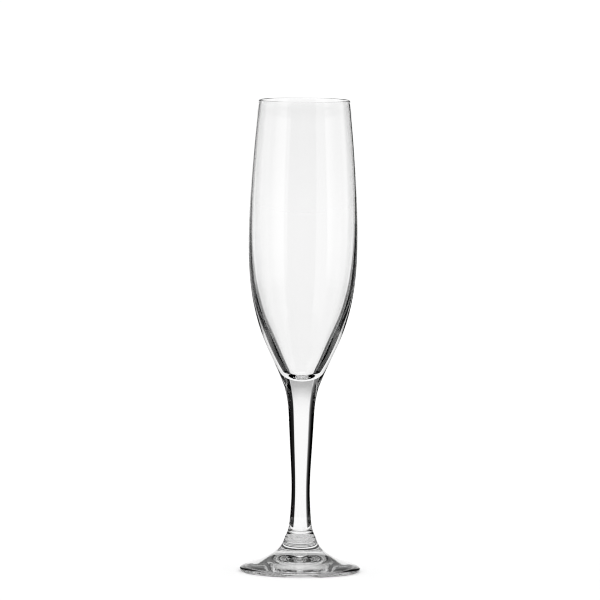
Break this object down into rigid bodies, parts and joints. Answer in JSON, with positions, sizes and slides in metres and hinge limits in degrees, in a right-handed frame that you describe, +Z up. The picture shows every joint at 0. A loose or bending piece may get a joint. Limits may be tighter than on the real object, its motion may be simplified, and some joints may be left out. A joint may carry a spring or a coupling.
{
  "type": "champagne flute",
  "caption": "Clear glass champagne flute: tall slim tulip bowl open at the top with a heavy solid base, a solid drawn stem and a round foot hollowed underneath.",
  "frame": {"origin": "centre of the foot's contact ring, on the surface that the glass stands on", "axes": "+Z up along the axis of the glass, from the foot to the rim; X and Y are alike, because the glass is round"},
  "size_m": [0.0574, 0.0574, 0.225],
  "materials": {
    "bowl_glass": "clear, fire polished",
    "stem_glass": "clear, fire polished",
    "foot_glass": "clear, fire polished"
  },
  "bodies": {
    "root": {"bowl": "bowl_glass", "stem": "stem_glass", "foot": "foot_glass"}
  },
  "joints": []
}
